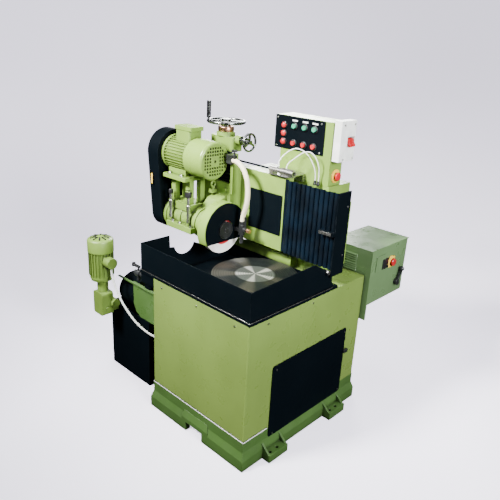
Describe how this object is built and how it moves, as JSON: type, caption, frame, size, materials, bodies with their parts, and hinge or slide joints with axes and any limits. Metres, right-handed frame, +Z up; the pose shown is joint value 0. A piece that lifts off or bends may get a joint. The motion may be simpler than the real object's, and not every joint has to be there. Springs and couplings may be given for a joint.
{
  "type": "surface grinder",
  "caption": "Floor-standing rotary-table surface grinder with belt-driven wheelhead, magnetic chuck in a coolant pan, pleated way covers, coolant separator and control pedestal.",
  "frame": {"origin": "centre of the base's underside, on the floor", "axes": "+X along the front face, from the wheelhead towards the bellows; +Y from the front face to the rear column; +Z up, square to the chuck's face"},
  "size_m": [1.007, 1.043, 1.245],
  "materials": {
    "green_paint": "semi-gloss enamel",
    "green_casting": "enamelled casting",
    "black_paint": "satin enamel",
    "dark_casting": "painted casting",
    "machined_steel": "turned and ground",
    "blackened_steel": "blackened",
    "bright_screws": "plated",
    "graduated_brass": "turned",
    "cover_rubber": "pleated coated cloth",
    "belt_rubber": "matte",
    "hose_rubber": "smooth cream",
    "cable_sheath": "smooth pale grey",
    "white_box": "moulded",
    "red_plastic": "moulded",
    "green_plastic": "moulded",
    "black_plastic": "moulded",
    "abrasive": "bonded white grit"
  },
  "bodies": {
    "machine": {"base_casting": "green_casting", "cabinet_shell": "green_paint", "access_cover": "black_paint", "panel_screws": "bright_screws", "coolant_pan": "black_paint", "internal_drives": "dark_casting", "rear_column": "green_casting", "bellows": "cover_rubber", "bellows_end_plate": "black_paint", "sensor_bracket": "machined_steel", "control_pedestal": "green_paint", "control_panel": "black_paint", "panel_fittings": "black_plastic", "mcb_box": "white_box", "electrical_cabinet": "green_paint", "separator_tank": "black_paint", "separator_trough": "green_paint", "drum_guard": "black_paint", "separator_gearmotor": "green_casting", "sensor_cable_1": "cable_sheath", "sensor_cable_2": "cable_sheath", "separator_cable": "cable_sheath"},
    "chuck": {"chuck_plate": "machined_steel", "chuck_spindle": "machined_steel"},
    "drum": {"separator_drum": "dark_casting"},
    "tray_tap": {"tray_tap_lever": "blackened_steel"},
    "latch": {"cover_latch": "blackened_steel"},
    "isolator": {"isolator_lever": "blackened_steel"},
    "breaker": {"mcb_toggle": "red_plastic"},
    "carriage": {"carriage": "green_casting", "carriage_fittings": "black_paint", "elevating_housing": "green_casting", "way_cover": "cover_rubber"},
    "elevating": {"elevating_screw": "machined_steel", "elevating_handwheel": "blackened_steel"},
    "fine_feed": {"fine_feed_handwheel": "blackened_steel"},
    "head": {"head_slide": "green_casting", "spindle_housing": "green_casting", "motor_bracket": "green_casting", "motor_frame": "green_casting", "motor_fan_cover": "green_paint", "drive_belt": "belt_rubber", "belt_guard": "black_paint", "wheel_guard": "black_paint", "coolant_nozzle": "blackened_steel", "coolant_hose": "hose_rubber"},
    "spindle": {"spindle_shaft": "machined_steel", "grinding_wheel": "abrasive", "wheel_hub": "blackened_steel"},
    "motor": {"motor_rotor": "dark_casting"},
    "hose_tap": {"hose_tap_handle": "blackened_steel"},
    "nozzle_valve": {"nozzle_knob": "graduated_brass"},
    "column_stop": {"estop_column": "red_plastic"},
    "cabinet_stop": {"estop_cabinet": "red_plastic"},
    "start_1": {"start_button_1": "green_plastic"},
    "stop_1": {"stop_button_1": "red_plastic"},
    "start_2": {"start_button_2": "green_plastic"},
    "stop_2": {"stop_button_2": "red_plastic"},
    "start_3": {"start_button_3": "green_plastic"},
    "stop_3": {"stop_button_3": "red_plastic"}
  },
  "joints": [
    {"name": "chuck_turn", "type": "hinge", "parent": "machine", "child": "chuck", "pos_m": [-0.012, -0.031, 0.5], "axis": [0, 0, 1], "continuous": true},
    {"name": "drum_turn", "type": "hinge", "parent": "machine", "child": "drum", "pos_m": [-0.555, -0.206, 0.4], "axis": [1, 0, 0], "continuous": true},
    {"name": "tray_tap_turn", "type": "hinge", "parent": "machine", "child": "tray_tap", "pos_m": [-0.394, -0.322, 0.58], "axis": [0, 0, 1], "range_deg": [0, 90]},
    {"name": "latch_turn", "type": "hinge", "parent": "machine", "child": "latch", "pos_m": [0.27, 0.258, 0.272], "axis": [1, 0, 0], "range_deg": [0, 90]},
    {"name": "isolator_turn", "type": "hinge", "parent": "machine", "child": "isolator", "pos_m": [0.29, 0.578, 0.508], "axis": [1, 0, 0], "range_deg": [0, 90]},
    {"name": "breaker_turn", "type": "hinge", "parent": "machine", "child": "breaker", "pos_m": [0.155, 0.273, 1.14], "axis": [0, -1, 0], "range_deg": [0, 50]},
    {"name": "carriage_slide", "type": "slide", "parent": "machine", "child": "carriage", "axis": [1, 0, 0], "range_m": [0, 0.165], "deforming": ["bellows"]},
    {"name": "elevating_turn", "type": "hinge", "parent": "carriage", "child": "elevating", "pos_m": [-0.328, 0.084, 1.14], "axis": [0, 0, 1], "range_deg": [-2380, 3965]},
    {"name": "head_slide_z", "type": "slide", "parent": "carriage", "child": "head", "axis": [0, 0, 1], "range_m": [-0.033, 0.055], "deforming": ["way_cover"]},
    {"name": "fine_feed_turn", "type": "hinge", "parent": "carriage", "child": "fine_feed", "pos_m": [-0.2, 0.084, 1.098], "axis": [1, 0, 0], "continuous": true},
    {"name": "spindle_turn", "type": "hinge", "parent": "head", "child": "spindle", "pos_m": [-0.4, -0.031, 0.747], "axis": [1, 0, 0], "continuous": true},
    {"name": "motor_turn", "type": "hinge", "parent": "head", "child": "motor", "pos_m": [-0.4, -0.031, 1.019], "axis": [1, 0, 0], "continuous": true},
    {"name": "hose_tap_turn", "type": "hinge", "parent": "head", "child": "hose_tap", "pos_m": [-0.212, 0.024, 1.06], "axis": [0, 0, 1], "range_deg": [0, 90]},
    {"name": "nozzle_valve_turn", "type": "hinge", "parent": "head", "child": "nozzle_valve", "pos_m": [-0.115, 0.024, 0.752], "axis": [1, 0, 0], "range_deg": [0, 90]},
    {"name": "start_push_1", "type": "slide", "parent": "machine", "child": "start_1", "axis": [0, 1, 0], "range_m": [0, 0.004], "stiffness_N_per_m": 600},
    {"name": "stop_push_1", "type": "slide", "parent": "machine", "child": "stop_1", "axis": [0, 1, 0], "range_m": [0, 0.004], "stiffness_N_per_m": 600},
    {"name": "start_push_2", "type": "slide", "parent": "machine", "child": "start_2", "axis": [0, 1, 0], "range_m": [0, 0.004], "stiffness_N_per_m": 600},
    {"name": "stop_push_2", "type": "slide", "parent": "machine", "child": "stop_2", "axis": [0, 1, 0], "range_m": [0, 0.004], "stiffness_N_per_m": 600},
    {"name": "start_push_3", "type": "slide", "parent": "machine", "child": "start_3", "axis": [0, 1, 0], "range_m": [0, 0.004], "stiffness_N_per_m": 600},
    {"name": "stop_push_3", "type": "slide", "parent": "machine", "child": "stop_3", "axis": [0, 1, 0], "range_m": [0, 0.004], "stiffness_N_per_m": 600},
    {"name": "column_stop_push", "type": "slide", "parent": "machine", "child": "column_stop", "axis": [-1, 0, 0], "range_m": [0, 0.004], "stiffness_N_per_m": 2000},
    {"name": "cabinet_stop_push", "type": "slide", "parent": "machine", "child": "cabinet_stop", "axis": [-1, 0, 0], "range_m": [0, 0.004], "stiffness_N_per_m": 2000}
  ],
  "couplings": [
    {"joint": "elevating_turn", "follows": "head_slide_z", "rad_per_m": 1256.6},
    {"joint": "motor_turn", "follows": "spindle_turn", "ratio": 0.68}
  ]
}
